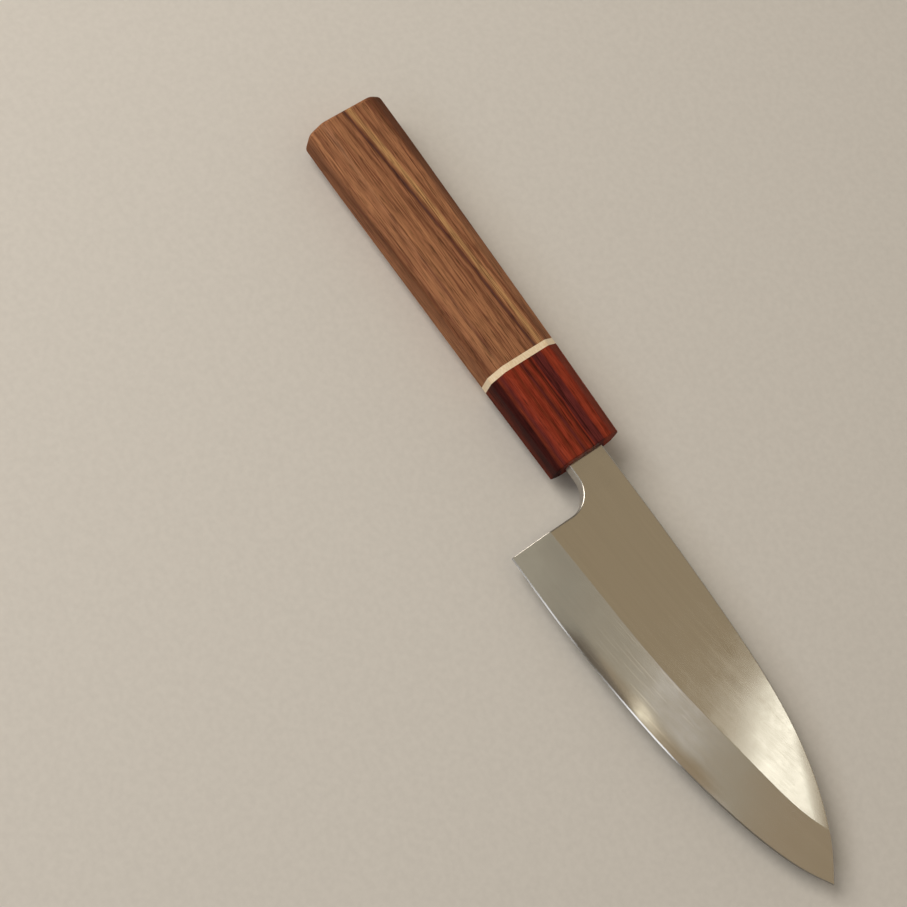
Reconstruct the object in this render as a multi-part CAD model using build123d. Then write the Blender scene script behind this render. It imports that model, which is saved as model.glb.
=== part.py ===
from build123d import *
import os

# A deba: a heavy kitchen knife, ground on one side only, with an octagonal handle on a hidden tang.
# Lengths are in millimetres. X runs along the handle's axis to the tip, from zero at the front of
# the ferrule, Y from the cutting edge to the spine, and Z out of the bevelled face. Once it is
# drawn, the whole knife is moved to stand over the origin on the lowest line of its handle.

# Handle, along its axis
body_length = 98.1
spacer_length = 2.2
ferrule_length = 34.5

# The handle's octagon at the butt, at the spacer and at the front of the ferrule: its width from
# edge side to spine side, its thickness, and the leg of its four 45 degree facets
butt_width = 28.5
butt_thickness = 19.2
butt_facet = 4.6
joint_width = 26.1
joint_thickness = 18.0
joint_facet = 4.5
front_width = 24.8
front_thickness = 16.8
front_facet = 4.2

# Easing of the handle's long edges, which the hand has sanded rounder towards the butt, of the
# butt's rim and of the ferrule's front rim
handle_round = 1.5
butt_corner_round = 4.5
butt_rim_round = 1.6
front_round = 0.5

# Dowel that joins ferrule, spacer and body: its diameter and glue line, the solid front of the
# ferrule ahead of it, its solid end behind the tang's slot, and the gap behind that end
dowel_diameter = 13.0
dowel_glue = 0.1
mouth_length = 7.0
dowel_solid_end = 6.7
dowel_end_gap = 0.8

# Tang at the mouth and at its end, and the bedding between it and its slot
tang_length = 78.0
tang_height = 9.2
tang_thickness = 4.4
tang_end_height = 5.0
tang_end_thickness = 3.0
bedding_gap = 0.4
bedding_end = 2.0

# Neck, and the choil's quarter round between neck and heel
neck_height = 13.0
neck_drop = 0.5
neck_length = 13.9
choil_radius = 9.2

# Blade: the edge from heel to tip along X, the height from the spine's crown down to the heel,
# the crown above the neck, and how far the spine falls from its crown to the tip
edge_length = 136.6
blade_height = 45.5
crown_rise = 0.7
tip_fall = 22.3

# Thickness at the neck and at the tip, and how much the flat side thins from the crown's level to
# the heel's. The taper goes partly with the distance and for the rest with its square.
neck_thickness = 5.2
tip_thickness = 1.7
flat_fall = 0.5
even_taper_share = 0.6

# The bevel starts this high over the back, behind a fine second bevel that ends in the edge
bevel_lift = 0.27
second_bevel_width = 0.4
edge_thickness = 0.08

# Hollow back: the grinding wheel's radius, and the flat rims left at edge, spine and heel
hollow_radius = 420.0
edge_rim = 2.2
spine_rim = 3.2
heel_rim = 3.0
hollow_start_width = 9.0

# Easing of every edge of the blade that doesn't cut: spine, neck, choil and the heel's back
dull_round = 0.4

# One overrun for all cuts, and how far a cutting surface runs on past its two lines, as shares of
# the way between them
overrun = 2.0
wide_run_share = 0.5
narrow_run_share = 2.0

# Shape of the blade from the heel to the tip. Each row holds the place along the edge, the spine's
# fall from the crown, the edge's rise from the heel, and the ridge's height over the heel, as
# shares of the edge's length, the tip's fall, the tip's rise and the blade's height.
outline_shares = [
    (0.0, 0.015, 0.0, 0.303),
    (0.19, 0.0, 0.013, 0.342),
    (0.37, 0.008, 0.078, 0.382),
    (0.55, 0.052, 0.191, 0.457),
    (0.72, 0.206, 0.376, 0.547),
    (0.87, 0.513, 0.622, 0.661),
    (0.955, 0.800, 0.841, 0.783),
    (1.0, 1.0, 1.0, 0.848),
]

# Worked out from the sizes above
neck_top = neck_height / 2 - neck_drop
neck_bottom = neck_top - neck_height
crown = neck_top + crown_rise
heel_level = crown - blade_height
tip_level = crown - tip_fall
blade_length = neck_length + edge_length
back = -neck_thickness / 2
spacer_front = -ferrule_length
body_front = spacer_front - spacer_length
butt = body_front - body_length
slot_length = tang_length + bedding_end
dowel_front = -mouth_length
dowel_back = -slot_length - dowel_solid_end


def octagon(x, width, thickness, facet):
    """The corners of the handle's cross-section at one place along its axis."""
    w, t = width / 2, thickness / 2
    return [
        Vector(x, w, t - facet), Vector(x, w - facet, t),
        Vector(x, facet - w, t), Vector(x, -w, t - facet),
        Vector(x, -w, facet - t), Vector(x, facet - w, -t),
        Vector(x, w - facet, -t), Vector(x, w, facet - t),
    ]


def flat_face(*corners):
    return make_face(Polyline(*corners, close=True))


def flat_sided(rear, front):
    """A solid with a flat side from each edge of one cross-section to the same edge of another."""
    sides = [flat_face(rear[i - 1], rear[i], front[i], front[i - 1]) for i in range(len(rear))]
    return Solid(Shell([flat_face(*rear), *sides, flat_face(*front)]))


def tapered_bar(rear, front):
    """A length of the handle with its long edges eased."""
    bar = flat_sided(rear, front)
    by_place = bar.edges().group_by(Axis.X)
    long_edges = [edge for group in by_place[1:-1] for edge in group]
    return fillet(long_edges, handle_round)


def bore(x_from, x_to):
    """The round hole that takes the dowel and its glue line."""
    hole = Cylinder(dowel_diameter / 2 + dowel_glue, x_to - x_from)
    return Pos((x_from + x_to) / 2, 0, 0) * Rot(0, 90, 0) * hole


def tang_slot():
    """The straight slot that the tang and its bedding fill, from the ferrule's mouth inwards."""
    height = tang_height + 2 * bedding_gap
    thickness = tang_thickness + 2 * bedding_gap
    return Pos(-slot_length / 2, -neck_drop, 0) * Box(slot_length, height, thickness)


def rounded_butt():
    """A straight block with the butt's soft corners and rim, which the handle's end is cut to."""
    outline = flat_face(*octagon(butt, butt_width, butt_thickness, butt_facet))
    outline = fillet(outline.vertices(), butt_corner_round)
    block = extrude(outline, amount=body_length + overrun, dir=(1, 0, 0))
    rim = block.faces().sort_by(Axis.X)[0].edges()
    return fillet(rim, butt_rim_round)


def make_handle_body():
    rear = octagon(butt - overrun, butt_width, butt_thickness, butt_facet)
    front = octagon(body_front, joint_width, joint_thickness, joint_facet)
    body = tapered_bar(rear, front) & rounded_butt()
    return body - bore(dowel_back - dowel_end_gap, body_front + overrun)


def make_spacer_ring():
    rear = octagon(body_front, joint_width, joint_thickness, joint_facet)
    front = octagon(spacer_front, joint_width, joint_thickness, joint_facet)
    return tapered_bar(rear, front) - bore(body_front - overrun, spacer_front + overrun)


def make_ferrule():
    rear = octagon(spacer_front, joint_width, joint_thickness, joint_facet)
    front = octagon(0, front_width, front_thickness, front_facet)
    ferrule = tapered_bar(rear, front)
    rim = ferrule.faces().sort_by(Axis.X)[-1].edges()
    ferrule = fillet(rim, front_round)
    return ferrule - bore(spacer_front - overrun, dowel_front) - tang_slot()


def make_tang_dowel():
    length = dowel_front - dowel_back
    rod = Pos(dowel_front - length / 2, 0, 0) * Rot(0, 90, 0) * Cylinder(dowel_diameter / 2, length)
    return rod - tang_slot()


def tang_section(x, height, thickness):
    """The corners of the tang's cross-section at one place along its length."""
    top, bottom, side = height / 2 - neck_drop, -height / 2 - neck_drop, thickness / 2
    return [Vector(x, top, side), Vector(x, bottom, side), Vector(x, bottom, -side), Vector(x, top, -side)]


def make_tang():
    end = tang_section(-tang_length, tang_end_height, tang_end_thickness)
    root = tang_section(0, tang_height, tang_thickness)
    return flat_sided(end, root)


def make_tang_bedding():
    return tang_slot() - make_tang()


def flat_height(x, y):
    """Height of the flat of the bevelled side, over the whole blade."""
    share = x / blade_length
    taper = even_taper_share * share + (1 - even_taper_share) * share**2
    thickness = neck_thickness + (tip_thickness - neck_thickness) * taper
    return back + thickness - flat_fall * (crown - y) / blade_height


def rows_past_both_ends():
    """The outline's rows, carried on in line past the heel and past the tip."""
    first, second = outline_shares[0], outline_shares[1]
    last, before = outline_shares[-1], outline_shares[-2]
    step = overrun / edge_length
    ahead = step / (second[0] - first[0])
    beyond = step / (last[0] - before[0])
    start = tuple(a - (b - a) * ahead for a, b in zip(first, second))
    finish = tuple(b + (b - a) * beyond for a, b in zip(before, last))
    return [start, *outline_shares, finish]


def along(row):
    return neck_length + row[0] * edge_length


def spine_level(row):
    return crown - row[1] * tip_fall


def edge_level(row):
    return heel_level + row[2] * (tip_level - heel_level)


def ridge_level(row):
    return heel_level + row[3] * blade_height


def smooth_curve(points):
    """A curve through points in a row along X, at an even pace along X."""
    reach = points[-1].X - points[0].X
    return Edge.make_spline(points, parameters=[(point.X - points[0].X) / reach for point in points])


def make_outline():
    """The blade seen from its bevelled side, without the tang."""
    spine_points = [(along(row), spine_level(row)) for row in outline_shares]
    edge_points = [Vector(along(row), edge_level(row)) for row in rows_past_both_ends()]
    heel, tip = edge_points[1], edge_points[-2]
    choil_centre = Vector(neck_length - choil_radius, neck_bottom - choil_radius)
    choil_low = choil_centre + Vector(choil_radius, 0)
    choil_high = choil_centre + Vector(0, choil_radius)
    choil_middle = choil_centre + Vector(choil_radius, 0).rotate(Axis.Z, 45)
    sides = [
        Spline((0, neck_top), *spine_points),
        smooth_curve(edge_points).trim(heel, tip),
        Line(heel, choil_low),
        ThreePointArc(choil_low, choil_middle, choil_high),
        Line(choil_high, (0, neck_bottom)),
        Line((0, neck_bottom), (0, neck_top)),
    ]
    return make_face(sides)


def all_above(lows, highs, run_share):
    """Everything above the ruled surface through two lines of points, run on past both lines."""
    outer = [low + (low - high) * run_share for low, high in zip(lows, highs)]
    inner = [high + (high - low) * run_share for low, high in zip(lows, highs)]
    surface = Face.make_surface_from_curves(smooth_curve(outer), smooth_curve(inner))
    return extrude(surface, amount=2 * neck_thickness, dir=(0, 0, 1))


def waste_over_flat():
    """What comes off the bevelled side to leave the blade thinner towards tip and edge."""
    quarter = blade_length / 4
    places = [-overrun, quarter, 2 * quarter, 3 * quarter, blade_length + overrun]
    lows = [Vector(x, heel_level, flat_height(x, heel_level)) for x in places]
    highs = [Vector(x, crown, flat_height(x, crown)) for x in places]
    return all_above(lows, highs, wide_run_share)


def bevel_lines():
    """Where the bevel leaves the edge, and the ridge that it climbs to."""
    rows = rows_past_both_ends()
    lows = [Vector(along(row), edge_level(row), back + bevel_lift) for row in rows]
    ridge = [(along(row), ridge_level(row)) for row in rows]
    highs = [Vector(x, y, flat_height(x, y)) for x, y in ridge]
    return lows, highs


def waste_over_bevel():
    lows, highs = bevel_lines()
    return all_above(lows, highs, wide_run_share)


def waste_over_second_bevel():
    lows, highs = bevel_lines()
    tops = [low + (high - low).normalized() * second_bevel_width for low, high in zip(lows, highs)]
    edge = [Vector(low.X, low.Y, back + edge_thickness) for low in lows]
    return all_above(edge, tops, narrow_run_share)


def hollow_section(x, low, high):
    """One slice of what the wheel takes out of the back: an arc over its chord."""
    depth = (high - low) ** 2 / (8 * hollow_radius)
    middle = (low + high) / 2
    arc = ThreePointArc((low, back), (middle, back + depth), (high, back))
    sides = Polyline((high, back), (high, back - overrun), (low, back - overrun), (low, back))
    return Plane.YZ.offset(x) * make_face([arc, sides])


def between(row, other):
    return tuple((a + b) / 2 for a, b in zip(row, other))


def hollow_in_back():
    """The shallow hollow of the back, which leaves a flat rim all round."""
    heel_row = outline_shares[0]
    middle = (edge_level(heel_row) + spine_level(heel_row)) / 2
    half = hollow_start_width / 2
    sections = [hollow_section(along(heel_row) + heel_rim, middle - half, middle + half)]
    full_rows = [between(*outline_shares[:2]), *outline_shares[1:-2], between(*outline_shares[-3:-1])]
    for row in full_rows:
        low, high = edge_level(row) + edge_rim, spine_level(row) - spine_rim
        sections.append(hollow_section(along(row), low, high))
    return loft(sections)


def eased_blank():
    """The blade's outline at full thickness, thinned over the flat, its dull edges eased."""
    blank = Pos(0, 0, back) * extrude(make_outline(), amount=neck_thickness)
    blank -= waste_over_flat()
    by_height = blank.faces().sort_by(Axis.Z)
    rims = by_height[-1].edges() + by_height[0].edges()
    without_cutting_edge = rims.sort_by(Axis.Y)[2:]
    without_shoulder = without_cutting_edge.sort_by(Axis.X)[2:]
    return fillet(without_shoulder, dull_round)


def make_blade():
    blade = eased_blank() - waste_over_bevel() - waste_over_second_bevel() - hollow_in_back()
    return blade + make_tang()


pieces = {
    "blade": make_blade(),
    "ferrule": make_ferrule(),
    "spacer_ring": make_spacer_ring(),
    "handle_body": make_handle_body(),
    "tang_dowel": make_tang_dowel(),
    "tang_bedding": make_tang_bedding(),
}

# The origin goes to the middle of the knife's footprint, level with the handle's lowest line
whole = pieces["blade"].bounding_box()
for piece in pieces.values():
    whole = whole.add(piece.bounding_box())
footprint = whole.center()
to_origin = Pos(-footprint.X, -footprint.Y, -whole.min.Z)

os.makedirs("parts", exist_ok=True)
for name, piece in pieces.items():
    export_step(to_origin * piece, f"parts/{name}.step")
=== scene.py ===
import bpy
import math
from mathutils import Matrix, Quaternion, Vector


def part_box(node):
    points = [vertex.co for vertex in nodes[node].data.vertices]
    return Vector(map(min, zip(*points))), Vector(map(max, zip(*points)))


# A deba knife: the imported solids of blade, ferrule, spacer and handle get the finishes of the real
# ones, on a pale floor under soft light. The frame is in metres, +X to the tip, +Y to the spine and
# +Z out of the bevelled face. Patterns, lights and the camera are placed from the handle's axis at
# the ferrule's mouth, in millimetres.
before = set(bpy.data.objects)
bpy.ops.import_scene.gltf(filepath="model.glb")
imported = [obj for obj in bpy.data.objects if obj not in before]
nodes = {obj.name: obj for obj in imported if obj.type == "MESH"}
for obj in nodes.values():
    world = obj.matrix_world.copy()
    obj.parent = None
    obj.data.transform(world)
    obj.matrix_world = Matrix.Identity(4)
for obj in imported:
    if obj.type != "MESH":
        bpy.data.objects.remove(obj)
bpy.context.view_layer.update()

MM = 0.001
handle_low, handle_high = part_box("handle_body")
axis_y = (handle_low.y + handle_high.y) / 2
axis_z = (handle_low.z + handle_high.z) / 2
mouth = Vector((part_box("ferrule")[1].x, axis_y, axis_z)) / MM


def linear(srgb_hex):
    """An sRGB hex value as the linear colour that a shader takes."""
    shares = [int(srgb_hex[i:i + 2], 16) / 255 for i in (0, 2, 4)]
    return [s / 12.92 if s <= 0.04045 else ((s + 0.055) / 1.055) ** 2.4 for s in shares] + [1.0]


def add(tree, kind, inputs, stops=None, **settings):
    """Adds a node. An input is a value, a socket, or a node for its first output."""
    node = tree.nodes.new("ShaderNode" + kind)
    for name, value in settings.items():
        setattr(node, name, value)
    for name, value in inputs.items():
        source = value.outputs[0] if isinstance(value, bpy.types.Node) else value
        if isinstance(source, bpy.types.NodeSocket):
            tree.links.new(source, node.inputs[name])
        else:
            node.inputs[name].default_value = source
    if stops:
        elements = node.color_ramp.elements
        elements.remove(elements[1])
        for place, colour in stops:
            element = elements[0] if place == stops[0][0] else elements.new(place)
            element.position = place
            element.color = linear(colour)
    return node


def start_material(name):
    """A material with no nodes but object coordinates in millimetres from the mouth."""
    material = bpy.data.materials.new(name)
    material.use_nodes = True
    tree = material.node_tree
    tree.nodes.clear()
    place = add(tree, "TexCoord", {}).outputs["Object"]
    place = add(tree, "Mapping", {"Vector": place, "Location": -mouth, "Scale": [1 / MM] * 3})
    return material, tree, place


def drawn_out(length, width):
    """The scale of a pattern with grains of this length along the knife and this width, in mm."""
    return 1 / length, 1 / width, 1 / width


def bands(low, high, stops):
    """Stops of a colour ramp from places in millimetres between two ends."""
    return [((place - low) / (high - low), colour) for place, colour in stops]


# The blade's outline, which its finish follows, in millimetres from the mouth. The spine is level
# up to spine_bend and falls from there to the tip.
heel_x = 13.9
spine_bend = 68.5
tip_x = 150.5
spine_level = 6.7
tip_level = -15.6
heel_level = -38.8


def into_crown(tree, x, y):
    """How far a place is into the crown, the zone under the spine where the flat falls away towards
    the tip, squared. The spine's line is followed as a power of the way to the tip."""
    crown_width = 4.0
    reach = add(tree, "MapRange", {"Value": x, "From Min": spine_bend, "From Max": tip_x})
    drop = add(tree, "Math", {0: reach, 1: 2.3}, operation="POWER")
    spine = add(
        tree, "Math", {0: drop, 1: tip_level - spine_level, 2: spine_level}, operation="MULTIPLY_ADD")
    to_spine = add(tree, "Math", {0: y, 1: spine}, operation="SUBTRACT")
    over = add(tree, "Math", {0: to_spine, 1: crown_width}, operation="ADD")
    over = add(tree, "Math", {0: over, 1: 0.0}, operation="MAXIMUM")
    crown = add(tree, "Math", {0: over, 1: 2.0}, operation="POWER")
    tipward = add(
        tree, "MapRange", {"Value": x, "From Min": 100.0, "From Max": 116.0},
        interpolation_type="SMOOTHSTEP")
    return add(tree, "Math", {0: crown, 1: tipward}, operation="MULTIPLY")


def above_edge(tree, x, y):
    """Height above the cutting edge, whose line is followed as a curve of the way to the tip."""
    way = add(tree, "MapRange", {"Value": x, "From Min": heel_x, "From Max": tip_x})
    square = add(tree, "Math", {0: way, 1: 2.0}, operation="POWER")
    rise = add(tree, "Math", {0: square, 1: 0.5, 2: 0.5}, operation="MULTIPLY_ADD")
    rise = add(tree, "Math", {0: rise, 1: square}, operation="MULTIPLY")
    edge = add(
        tree, "Math", {0: rise, 1: tip_level - heel_level, 2: heel_level}, operation="MULTIPLY_ADD")
    return add(tree, "Math", {0: y, 1: edge}, operation="SUBTRACT")


def most_ground(tree, x):
    """1 in the middle of the blade, where the bevel is ground most, and 0 near heel and tip."""
    grown = add(
        tree, "MapRange", {"Value": x, "From Min": 32.0, "From Max": 53.0},
        interpolation_type="SMOOTHSTEP")
    faded = add(
        tree, "MapRange", {"Value": x, "From Min": 120.0, "From Max": 98.0},
        interpolation_type="SMOOTHSTEP")
    return add(tree, "Math", {0: grown, 1: faded}, operation="MULTIPLY")


def bare_scratches(tree, x, bent):
    """A few scratches in the middle of the blade, 25 mm long. They are drawn 0.3 mm wide, where
    real ones are finer than the render shows."""
    along_ridge = add(tree, "Mapping", {"Vector": bent, "Scale": drawn_out(25, 0.3)})
    scratches = add(tree, "TexNoise", {"Vector": along_ridge, "Scale": 1.0, "Detail": 0.0})
    scratches = add(
        tree, "MapRange", {"Value": scratches, "From Min": 0.69, "From Max": 0.74, "To Max": 0.2})
    nearer = add(tree, "MapRange", {"Value": x, "From Min": 92.0, "From Max": 80.0})
    scratches = add(tree, "Math", {0: scratches, 1: nearer}, operation="MULTIPLY")
    further = add(tree, "MapRange", {"Value": x, "From Min": 40.0, "From Max": 58.0})
    return add(tree, "Math", {0: scratches, 1: further}, operation="MULTIPLY")


def hand_ground_steel():
    # Carbon steel ground on a wheel and finished by hand along the blade. The eye sees fine
    # hairlines that follow the ridge, a mirror blurred most across them, slow waves left by the
    # hand, and a duller bevel below the ridge.
    material, tree, place = start_material("hand_ground_carbon_steel")
    x, y, z = add(tree, "SeparateXYZ", {0: place}).outputs
    normal = add(tree, "TexCoord", {}).outputs["Normal"]
    _, lean, facing_up = add(tree, "SeparateXYZ", {0: normal}).outputs

    # 0 on the flat and back, 1 on the bevel, which leans 12 degrees to the edge
    bevel = add(tree, "MapRange", {
        "Value": lean, "From Min": -0.06, "From Max": -0.12, "To Min": 0.0, "To Max": 1.0})

    # Hairlines bend up with the ridge, which climbs by 0.03 mm for each mm at the heel and ever
    # more towards the tip. Real ones are under 0.1 mm apart and are drawn at 0.3 mm to show at
    # all, about 20 mm long.
    along = add(tree, "Math", {0: x, 1: heel_x}, operation="SUBTRACT")
    bend = add(tree, "Math", {0: along, 1: 0.00084, 2: 0.03}, operation="MULTIPLY_ADD")
    climb = add(tree, "Math", {0: along, 1: bend}, operation="MULTIPLY")
    across = add(tree, "Math", {0: y, 1: climb}, operation="SUBTRACT")
    bent = add(tree, "CombineXYZ", {"X": x, "Y": across, "Z": z})
    stretched = add(tree, "Mapping", {"Vector": bent, "Scale": drawn_out(20, 0.3)})
    hairlines = add(tree, "TexNoise", {
        "Vector": stretched, "Scale": 1.0, "Detail": 3.0, "Roughness": 0.6})
    # Broader streaks, 1.5 mm wide and 45 mm long, from the coarser stones
    wider = add(tree, "Mapping", {"Vector": bent, "Scale": drawn_out(45, 1.5)})
    streaks = add(tree, "TexNoise", {"Vector": wider, "Scale": 1.0, "Detail": 2.0})
    # Waves of about 25 mm from grinding by hand, and clouds of 7 mm from the last polish
    waves = add(tree, "TexNoise", {"Vector": place, "Scale": 1 / 25, "Detail": 1.0})
    clouds = add(tree, "TexNoise", {"Vector": place, "Scale": 1 / 7, "Detail": 3.0, "Roughness": 0.6})

    # The flat is crowned under the spine, and the bevel rolls over just above the edge
    roll_width = 6.5
    crown = into_crown(tree, x, y)
    over_edge = above_edge(tree, x, y)
    under = add(tree, "Math", {0: roll_width, 1: over_edge}, operation="SUBTRACT")
    under = add(tree, "Math", {0: under, 1: 0.0}, operation="MAXIMUM")
    roll = add(tree, "Math", {0: under, 1: 2.0}, operation="POWER")
    middle = most_ground(tree, x)
    roll = add(tree, "Math", {0: roll, 1: middle}, operation="MULTIPLY")

    # Height in thousandths of a millimetre
    height = add(tree, "Math", {0: waves, 1: 60.0}, operation="MULTIPLY")
    height = add(tree, "Math", {0: crown, 1: -3.5, 2: height}, operation="MULTIPLY_ADD")
    height = add(tree, "Math", {0: roll, 1: -5.5, 2: height}, operation="MULTIPLY_ADD")
    height = add(tree, "Math", {0: streaks, 1: 0.6, 2: height}, operation="MULTIPLY_ADD")
    height = add(tree, "Math", {0: hairlines, 1: 1.5, 2: height}, operation="MULTIPLY_ADD")
    # The solid's dull edges are rounded already. Light sees them softened by 0.3 mm more, and so
    # also the heel's front, which is sharp below the ridge, gets a bright rim. The cutting edge
    # and the first 1 mm above it stay crisp.
    eased = add(tree, "Bevel", {"Radius": 0.3 * MM}, samples=8)
    plain = add(tree, "NewGeometry", {}).outputs["Normal"]
    clear = add(tree, "MapRange", {"Value": over_edge, "From Min": 1.0, "From Max": 1.5})
    eased = add(tree, "Mix", {"Factor": clear, "A": plain, "B": eased}, data_type="VECTOR")
    bump = add(tree, "Bump", {
        "Strength": 1.0, "Distance": MM * MM, "Height": height, "Normal": eased.outputs["Result"]})

    # Roughness. The three patterns are half grey on average, so half their sum is taken off again.
    streak_blur, hairline_blur, cloud_blur = 0.05, 0.06, 0.12
    dull = add(tree, "MapRange", {"Value": bevel, "To Min": 0.13, "To Max": 0.17})
    dull = add(tree, "Math", {0: streaks, 1: streak_blur, 2: dull}, operation="MULTIPLY_ADD")
    dull = add(tree, "Math", {0: hairlines, 1: hairline_blur, 2: dull}, operation="MULTIPLY_ADD")
    dull = add(tree, "Math", {0: clouds, 1: cloud_blur, 2: dull}, operation="MULTIPLY_ADD")
    average = (streak_blur + hairline_blur + cloud_blur) / 2
    dull = add(tree, "Math", {0: dull, 1: average}, operation="SUBTRACT")
    # Spine and choil, which stand upright, are left as the belt leaves them
    upright = add(tree, "Math", {0: facing_up}, operation="ABSOLUTE")
    belt = add(tree, "MapRange", {"Value": upright, "From Min": 0.6, "From Max": 0.3, "To Max": 0.2})
    dull = add(tree, "Math", {0: dull, 1: belt}, operation="ADD")
    # The rolled zone above the edge is polished finer
    polish = add(tree, "MapRange", {"Value": under, "From Max": 4.5, "To Max": -0.07})
    dull = add(tree, "Math", {0: polish, 1: middle, 2: dull}, operation="MULTIPLY_ADD")

    scratches = bare_scratches(tree, x, bent)
    shade = add(tree, "MapRange", {"Value": streaks, "To Min": 0.95, "To Max": 1.05})
    shade = add(tree, "Math", {0: scratches, 1: bevel, 2: shade}, operation="MULTIPLY_ADD")
    tone = add(tree, "ValToRGB", {"Fac": bevel}, stops=[(0.0, "C8C6BE"), (1.0, "CBC8C2")])
    tone = add(tree, "VectorMath", {0: tone, "Scale": shade}, operation="SCALE")
    tangent = add(tree, "CombineXYZ", {"X": 0.0, "Y": 1.0, "Z": 0.0})
    shader = add(tree, "BsdfPrincipled", {
        "Base Color": tone, "Metallic": 1.0, "Roughness": dull, "Anisotropic": 0.5,
        "Normal": bump, "Tangent": tangent})
    add(tree, "OutputMaterial", {"Surface": shader})
    return material


# Colours of the walnut, from its golden layer to the darkest one and the thin lines; the deepest brown
# is painted shade for the facets on the spine's side
walnut_gold = "AA8258"
walnut_light = "9A6C4C"
walnut_base = "8E6145"
walnut_dark = "6E4731"
walnut_painted_shade = "5F3C29"
walnut_purple = "553830"
walnut_line = "63392B"


def walnut_layers_and_painted_shade(tree, place):
    """Colour of the walnut's long layers, which climb to the spine on their way to the ferrule, and of
    the painted shade that darkens the facets on the spine's side.
    """
    x, y, z = add(tree, "SeparateXYZ", {0: place}).outputs
    body_middle = -86.0
    top_level = 9.3

    # The layers lie across the handle and lean with height, and the golden one is where this is 0
    centred = add(tree, "Math", {0: x, 1: -body_middle}, operation="ADD")
    arch = add(tree, "Math", {0: centred, 1: -0.00027, 2: 0.055}, operation="MULTIPLY_ADD")
    climb = add(tree, "Math", {0: centred, 1: arch, 2: 4.3}, operation="MULTIPLY_ADD")
    level = add(tree, "Math", {0: y, 1: climb}, operation="SUBTRACT")
    depth = add(tree, "Math", {0: z, 1: top_level}, operation="SUBTRACT")
    level = add(tree, "Math", {0: depth, 1: 0.45, 2: level}, operation="MULTIPLY_ADD")
    # They wander by 0.8 mm at most over 50 mm of length, and waver by 0.5 mm over 8 mm
    wander_reach, waver_reach = 0.8, 0.5
    slow = add(tree, "Mapping", {"Vector": place, "Scale": drawn_out(50, 9)})
    wander = add(tree, "TexNoise", {"Vector": slow, "Scale": 1.0, "Detail": 1.0})
    level = add(tree, "Math", {0: wander, 1: 2 * wander_reach, 2: level}, operation="MULTIPLY_ADD")
    level = add(tree, "Math", {0: level, 1: wander_reach}, operation="SUBTRACT")
    quick = add(tree, "Mapping", {"Vector": place, "Scale": drawn_out(8, 0.9)})
    waver = add(tree, "TexNoise", {"Vector": quick, "Scale": 1.0, "Detail": 3.0})
    level = add(tree, "Math", {0: waver, 1: 2 * waver_reach, 2: level}, operation="MULTIPLY_ADD")
    level = add(tree, "Math", {0: level, 1: waver_reach}, operation="SUBTRACT")

    low, high = -30.0, 14.0
    share = add(tree, "MapRange", {"Value": level, "From Min": low, "From Max": high})
    return add(tree, "ValToRGB", {"Fac": share}, stops=bands(low, high, [
        (low, walnut_base), (-25.0, walnut_light), (-22.5, walnut_base), (-20.0, walnut_dark),
        (-18.5, walnut_base), (-16.0, walnut_light), (-14.3, walnut_base), (-11.5, walnut_light),
        (-9.5, walnut_base), (-7.0, walnut_light), (-5.4, walnut_base), (-4.8, walnut_dark),
        (-4.3, walnut_base), (-3.1, walnut_base), (-2.7, walnut_dark), (-2.4, walnut_purple),
        (-2.0, walnut_purple), (-1.7, walnut_dark), (-1.35, walnut_base), (-1.0, walnut_light),
        (-0.6, walnut_gold), (0.7, walnut_gold), (1.3, walnut_light), (1.9, walnut_base),
        (2.5, walnut_dark), (3.0, walnut_base), (4.6, walnut_light), (6.0, walnut_base),
        # From 7 mm on, the stops darken into painted shade on the facets on the spine's side
        (7.0, walnut_dark), (10.0, walnut_painted_shade), (high, walnut_painted_shade)]))


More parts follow.
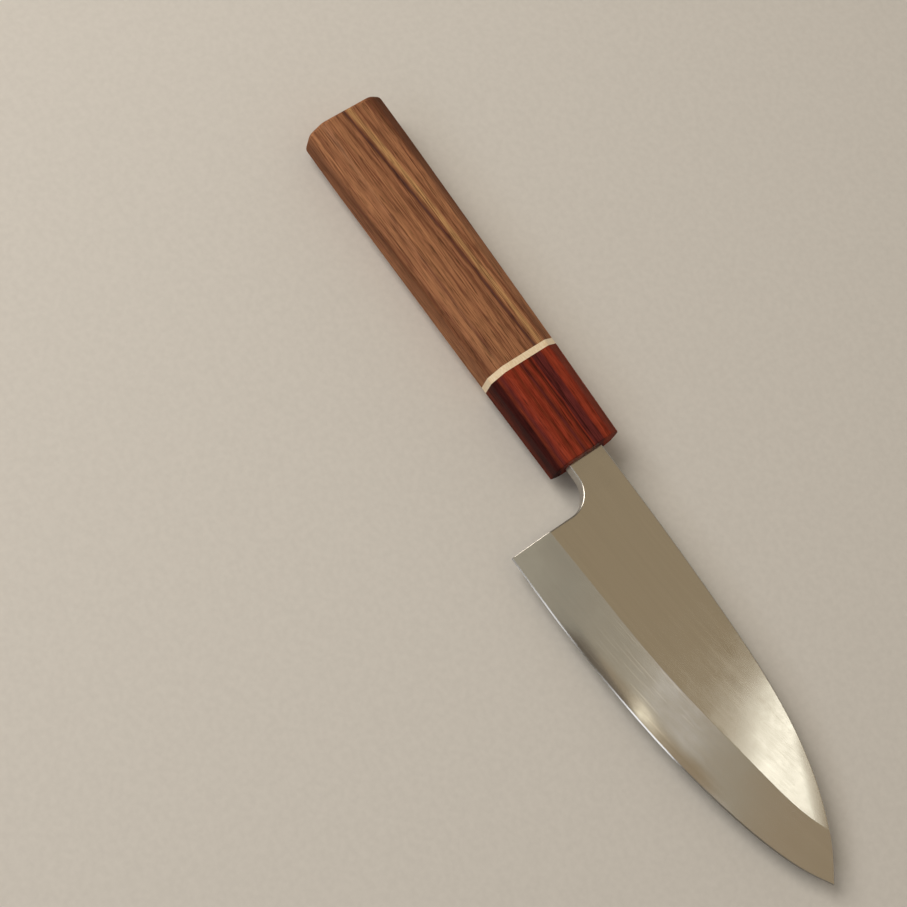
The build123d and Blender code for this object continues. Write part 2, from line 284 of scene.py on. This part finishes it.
def oiled_walnut():
    # Black walnut planed and oiled: brown heartwood in long parallel layers that climb to the
    # spine, one golden and one purple-brown, with short dark pores and a satin skin.
    material, tree, place = start_material("planed_oiled_walnut")
    # The layers, with painted shade on the spine's side
    layers = walnut_layers_and_painted_shade(tree, place)

    # Fibre 12 mm long, drawn 0.3 mm wide, where real fibre is too fine to show
    long_grain = add(tree, "Mapping", {"Vector": place, "Scale": drawn_out(12, 0.3)})
    fibre = add(tree, "TexNoise", {
        "Vector": long_grain, "Scale": 1.0, "Detail": 4.0, "Roughness": 0.7})
    # Pores 0.35 mm wide, where real ones are 0.2 mm, and 5 mm long
    pore_grain = add(tree, "Mapping", {"Vector": place, "Scale": drawn_out(5, 0.35)})
    pores = add(tree, "TexNoise", {"Vector": pore_grain, "Scale": 1.0, "Detail": 1.0})
    pores = add(tree, "MapRange", {"Value": pores, "From Min": 0.54, "From Max": 0.66})
    # Thin red-brown lines 0.35 mm wide and 20 mm long
    line_grain = add(tree, "Mapping", {"Vector": place, "Scale": drawn_out(20, 0.35)})
    lines = add(tree, "TexNoise", {"Vector": line_grain, "Scale": 1.0, "Detail": 1.0})
    lines = add(tree, "MapRange", {"Value": lines, "From Min": 0.54, "From Max": 0.64, "To Max": 0.75})
    layers = add(
        tree, "Mix", {"Factor": lines, "A": layers, "B": linear(walnut_line)}, data_type="RGBA")
    # Year lines about 1.2 mm apart
    year_grain = add(tree, "Mapping", {"Vector": place, "Scale": drawn_out(30, 1.2)})
    years = add(tree, "TexNoise", {"Vector": year_grain, "Scale": 1.0, "Detail": 2.0})
    # Cloudy figure 12 mm long and 6 mm wide
    cloud = add(tree, "Mapping", {"Vector": place, "Scale": drawn_out(12, 6)})
    figure = add(tree, "TexNoise", {"Vector": cloud, "Scale": 1.0, "Detail": 1.0})

    shade = add(tree, "MapRange", {
        "Value": fibre, "From Min": 0.3, "From Max": 0.7, "To Min": 0.62, "To Max": 1.42})
    shade = add(tree, "Math", {0: figure, 1: 0.3, 2: shade}, operation="MULTIPLY_ADD")
    shade = add(tree, "Math", {0: years, 1: 0.5, 2: shade}, operation="MULTIPLY_ADD")
    shade = add(tree, "Math", {0: pores, 1: -0.42, 2: shade}, operation="MULTIPLY_ADD")
    shade = add(tree, "Math", {0: shade, 1: 0.22}, operation="SUBTRACT")
    wood = add(tree, "VectorMath", {0: layers.outputs["Result"], "Scale": shade}, operation="SCALE")

    # Pores are sunk by 1.5 times the fibre's height of 0.008 mm
    height = add(tree, "Math", {0: pores, 1: -1.5, 2: fibre}, operation="MULTIPLY_ADD")
    bump = add(tree, "Bump", {"Strength": 1.0, "Distance": 0.008 * MM, "Height": height})
    dull = add(tree, "MapRange", {"Value": fibre, "To Min": 0.48, "To Max": 0.36})
    dull = add(tree, "Math", {0: pores, 1: 0.15, 2: dull}, operation="MULTIPLY_ADD")
    shader = add(tree, "BsdfPrincipled", {
        "Base Color": wood, "Roughness": dull, "IOR": 1.47, "Specular IOR Level": 0.0,
        "Normal": bump, "Coat Weight": 0.15, "Coat Roughness": 0.4})
    add(tree, "OutputMaterial", {"Surface": shader})
    return material


# Colours of the red ferrule wood
red_bright = "903B27"
red_base = "873423"
red_brown = "72301F"
red_purple = "5E2826"
red_black = "3C1614"


def red_wood_layers(tree, place):
    """Colour of the ferrule's layers, which run straight along it and lean with height."""
    _, y, z = add(tree, "SeparateXYZ", {0: place}).outputs
    top_level = 8.6
    depth = add(tree, "Math", {0: z, 1: top_level}, operation="SUBTRACT")
    level = add(tree, "Math", {0: depth, 1: 0.3, 2: y}, operation="MULTIPLY_ADD")
    # They wander by 0.8 mm at most over 40 mm of length
    wander_reach = 0.8
    slow = add(tree, "Mapping", {"Vector": place, "Scale": drawn_out(40, 7)})
    wander = add(tree, "TexNoise", {"Vector": slow, "Scale": 1.0, "Detail": 2.0})
    level = add(tree, "Math", {0: wander, 1: 2 * wander_reach, 2: level}, operation="MULTIPLY_ADD")
    level = add(tree, "Math", {0: level, 1: wander_reach}, operation="SUBTRACT")

    low, high = -20.0, 14.0
    share = add(tree, "MapRange", {"Value": level, "From Min": low, "From Max": high})
    return add(tree, "ValToRGB", {"Fac": share}, stops=bands(low, high, [
        (low, red_base), (-17.0, red_brown), (-15.0, red_black), (-12.5, red_black),
        (-11.5, red_brown), (-10.5, red_purple), (-9.3, red_base), (-8.0, red_bright),
        (-7.2, red_base), (-6.0, red_brown), (-5.2, red_base), (-4.0, red_bright),
        (-3.2, red_brown), (-2.4, red_purple), (-1.4, red_brown), (-0.5, red_base),
        (0.4, red_brown), (0.9, red_black), (1.4, red_base), (1.8, red_purple),
        (2.5, red_purple), (2.8, red_black), (3.1, red_purple), (4.9, red_purple),
        (5.5, red_base), (6.8, red_bright), (8.2, red_base), (10.5, red_brown),
        (high, red_base)]))


def polished_red_wood():
    # A red tropical hardwood, padauk or rosewood, planed to size and lacquered: orange-red and
    # purple-brown layers with fine dark lines, and a clear glossy skin.
    material, tree, place = start_material("lacquered_red_hardwood")
    layers = red_wood_layers(tree, place)

    # Fibre 7 mm long, drawn 0.28 mm wide, where real fibre is too fine to show
    long_grain = add(tree, "Mapping", {"Vector": place, "Scale": drawn_out(7, 0.28)})
    fibre = add(tree, "TexNoise", {
        "Vector": long_grain, "Scale": 1.0, "Detail": 4.0, "Roughness": 0.65})
    # Dark vessel lines 0.3 mm wide and 5 mm long
    vessel_grain = add(tree, "Mapping", {"Vector": place, "Scale": drawn_out(5, 0.3)})
    vessels = add(tree, "TexNoise", {"Vector": vessel_grain, "Scale": 1.0, "Detail": 1.0})
    vessels = add(tree, "MapRange", {"Value": vessels, "From Min": 0.56, "From Max": 0.70})
    # Dark lines, a part of grains 0.8 mm wide, that run almost the whole length
    line_grain = add(tree, "Mapping", {"Vector": place, "Scale": drawn_out(45, 0.8)})
    lines = add(tree, "TexNoise", {"Vector": line_grain, "Scale": 1.0, "Detail": 1.0})
    lines = add(tree, "MapRange", {"Value": lines, "From Min": 0.57, "From Max": 0.64})
    # Mottling 4 mm long and 1.2 mm wide
    mottle = add(tree, "Mapping", {"Vector": place, "Scale": drawn_out(4, 1.2)})
    mottle = add(tree, "TexNoise", {"Vector": mottle, "Scale": 1.0, "Detail": 1.0})

    shade = add(tree, "MapRange", {
        "Value": fibre, "From Min": 0.3, "From Max": 0.7, "To Min": 0.68, "To Max": 1.32})
    shade = add(tree, "Math", {0: mottle, 1: 0.6, 2: shade}, operation="MULTIPLY_ADD")
    shade = add(tree, "Math", {0: vessels, 1: -0.35, 2: shade}, operation="MULTIPLY_ADD")
    shade = add(tree, "Math", {0: lines, 1: -0.3, 2: shade}, operation="MULTIPLY_ADD")
    shade = add(tree, "Math", {0: shade, 1: 0.25}, operation="SUBTRACT")
    wood = add(tree, "VectorMath", {0: layers, "Scale": shade}, operation="SCALE")
    bump = add(tree, "Bump", {"Strength": 1.0, "Distance": 0.004 * MM, "Height": fibre})
    dull = add(tree, "MapRange", {"Value": fibre, "To Min": 0.42, "To Max": 0.32})
    shader = add(tree, "BsdfPrincipled", {
        "Base Color": wood, "Roughness": dull, "IOR": 1.5, "Specular IOR Level": 0.0,
        "Normal": bump, "Coat Weight": 0.15, "Coat Roughness": 0.25})
    add(tree, "OutputMaterial", {"Surface": shader})
    return material


def pale_spacer_wood():
    # A disc of close-grained pale wood, such as boxwood, planed with the handle and lacquered:
    # even cream with a faint fibre.
    material, tree, place = start_material("planed_pale_boxwood")
    grain = add(tree, "Mapping", {"Vector": place, "Scale": drawn_out(1.2, 0.4)})
    fibre = add(tree, "TexNoise", {"Vector": grain, "Scale": 1.0, "Detail": 3.0})
    cream = add(tree, "ValToRGB", {"Fac": fibre}, stops=[(0.3, "EBD2AC"), (0.7, "FCEBCE")])
    bump = add(tree, "Bump", {"Strength": 1.0, "Distance": 0.003 * MM, "Height": fibre})
    shader = add(tree, "BsdfPrincipled", {
        "Base Color": cream, "Roughness": 0.4, "IOR": 1.5, "Normal": bump,
        "Coat Weight": 0.3, "Coat Roughness": 0.2})
    add(tree, "OutputMaterial", {"Surface": shader})
    return material


def raw_dowel_wood():
    # The hidden dowel, turned from raw magnolia as such handles have: pale, dry and without gloss.
    material, tree, place = start_material("raw_turned_magnolia")
    grain = add(tree, "Mapping", {"Vector": place, "Scale": drawn_out(15, 0.5)})
    fibre = add(tree, "TexNoise", {"Vector": grain, "Scale": 1.0, "Detail": 4.0})
    pale = add(tree, "ValToRGB", {"Fac": fibre}, stops=[(0.3, "B79E76"), (0.7, "D6C197")])
    bump = add(tree, "Bump", {"Strength": 1.0, "Distance": 0.02 * MM, "Height": fibre})
    shader = add(tree, "BsdfPrincipled", {"Base Color": pale, "Roughness": 0.7, "Normal": bump})
    add(tree, "OutputMaterial", {"Surface": shader})
    return material


def cured_resin():
    # Resin poured round the tang and cured in its slot: amber, cloudy over 4 mm, with bubbles of
    # about 0.8 mm.
    material, tree, place = start_material("poured_amber_resin")
    clouds = add(tree, "TexNoise", {"Vector": place, "Scale": 1 / 4, "Detail": 2.0})
    amber = add(tree, "ValToRGB", {"Fac": clouds}, stops=[(0.35, "8F7140"), (0.65, "B59662")])
    bubbles = add(tree, "TexVoronoi", {"Vector": place, "Scale": 1 / 0.8})
    bump = add(tree, "Bump", {"Strength": 0.5, "Distance": 0.05 * MM, "Height": bubbles})
    shader = add(tree, "BsdfPrincipled", {"Base Color": amber, "Roughness": 0.45, "Normal": bump})
    add(tree, "OutputMaterial", {"Surface": shader})
    return material


def matt_paper():
    # Pale background paper: matt, with a faint tooth of about 2 mm.
    material, tree, place = start_material("matt_background_paper")
    tooth = add(tree, "TexNoise", {"Vector": place, "Scale": 1 / 2, "Detail": 2.0})
    pale = add(tree, "ValToRGB", {"Fac": tooth}, stops=[(0.3, "D8D6D2"), (0.7, "DDDBD7")])
    shader = add(tree, "BsdfPrincipled", {"Base Color": pale, "Roughness": 0.85})
    add(tree, "OutputMaterial", {"Surface": shader})
    return material


finishes = {
    "blade": hand_ground_steel(),
    "ferrule": polished_red_wood(),
    "spacer_ring": pale_spacer_wood(),
    "handle_body": oiled_walnut(),
    "tang_dowel": raw_dowel_wood(),
    "tang_bedding": cured_resin(),
}
for name, finish in finishes.items():
    nodes[name].data.materials.clear()
    nodes[name].data.materials.append(finish)


def soft_light(name, place, width, height, radiance, colour, roll=0, aim=None):
    """A rectangular soft light of a given brightness per area, rolled by some degrees about its own
    axis. It faces straight down, or a point."""
    aim = aim or (place[0], place[1], 0)
    lamp = bpy.data.lights.new(name, "AREA")
    lamp.shape = "RECTANGLE"
    lamp.size, lamp.size_y = width * MM, height * MM
    lamp.color = linear(colour)[:3]
    lamp.energy = radiance * math.pi * lamp.size * lamp.size_y
    light = bpy.data.objects.new(name, lamp)
    bpy.context.scene.collection.objects.link(light)
    light.location = (Vector(place) + mouth) * MM
    facing = (Vector(aim) - Vector(place)).to_track_quat("-Z", "Y")
    light.rotation_euler = (facing @ Quaternion((0, 0, 1), math.radians(roll))).to_euler()


# The flat mirrors a dim warm ceiling up to a small bright window and its dimmer end, which make the
# highlight towards the tip
soft_light("window", (244, 376, 1000), 68, 200, 1.85, "FDFDF6", roll=40)
soft_light("window_end", (295, 418, 1000), 74, 200, 0.42, "FDFDF6", roll=40)
soft_light("ceiling", (330, 254, 1020), 900, 1000, 0.262, "FFE2B4")
soft_light("heel_ceiling", (-220, -260, 1020), 460, 460, 0.29, "FFE2B4")
# The bevel mirrors cooler panes, one for the heel, and one beside a small window for the middle
soft_light("heel_pane", (-225, -210, 1010), 450, 480, 0.15, "B1EBFF")
soft_light("bevel_pane", (125, -80, 1010), 110, 430, 0.135, "B1EBFF", roll=-40)
soft_light("bevel_window", (172, -38, 1000), 40, 110, 0.8, "F4F6FF", roll=-40)
# The rolled zone above the edge mirrors a narrow window and a dim pane
soft_light("edge_window", (159, -180, 1000), 26, 110, 1.15, "FFFBE8")
soft_light("edge_pane", (78, -230, 1000), 80, 150, 0.07, "FFF0D8")
# The main light comes from the handle's end, and the second bevel mirrors a low front light
soft_light("main", (-780, -400, 960), 800, 800, 5.1, "FFF6EA", aim=(-30, -10, 0))
soft_light("front", (-70, -960, 740), 860, 230, 1.6, "F4F8FF", aim=(60, -10, 0))

# Dim warm walls overhead that grow paler down to the horizon, most on the spine's side
world = bpy.data.worlds.new("studio")
world.use_nodes = True
room = world.node_tree
direction = add(room, "TexCoord", {}).outputs["Generated"]
_, sideways, up = add(room, "SeparateXYZ", {0: direction}).outputs
walls = add(room, "ValToRGB", {"Fac": up}, stops=[(0.0, "B0ABA3"), (0.3, "A9A49C"), (0.75, "6E655A")])
side = add(room, "MapRange", {"Value": sideways, "From Min": -1.0, "To Min": 0.8, "To Max": 1.2})
walls = add(room, "VectorMath", {0: walls, "Scale": side}, operation="SCALE")
room.links.new(walls.outputs[0], room.nodes["Background"].inputs["Color"])
bpy.context.scene.world = world

# A plain pale floor, 8 m across
bpy.ops.object.select_all(action="DESELECT")
bpy.ops.mesh.primitive_plane_add(size=8, location=(0, 0, 0))
floor = bpy.context.object
floor.name = "floor"
floor.data.materials.append(matt_paper())

# Camera at the photograph's viewing angle, as worked out from the knife's own lines: its place from
# the mouth in millimetres, its turn in degrees, and its lens on a sensor 36 mm wide
camera_place = (68.25, -238.94, 577.46)
camera_turn = (18.215, -10.938, 54.117)
lens = bpy.data.cameras.new("camera")
lens.sensor_width = 36
lens.lens = 79.12
camera = bpy.data.objects.new("camera", lens)
bpy.context.scene.collection.objects.link(camera)
camera.location = (Vector(camera_place) + mouth) * MM
camera.rotation_euler = [math.radians(turn) for turn in camera_turn]
bpy.context.scene.camera = camera
bpy.context.scene.view_settings.view_transform = "Standard"
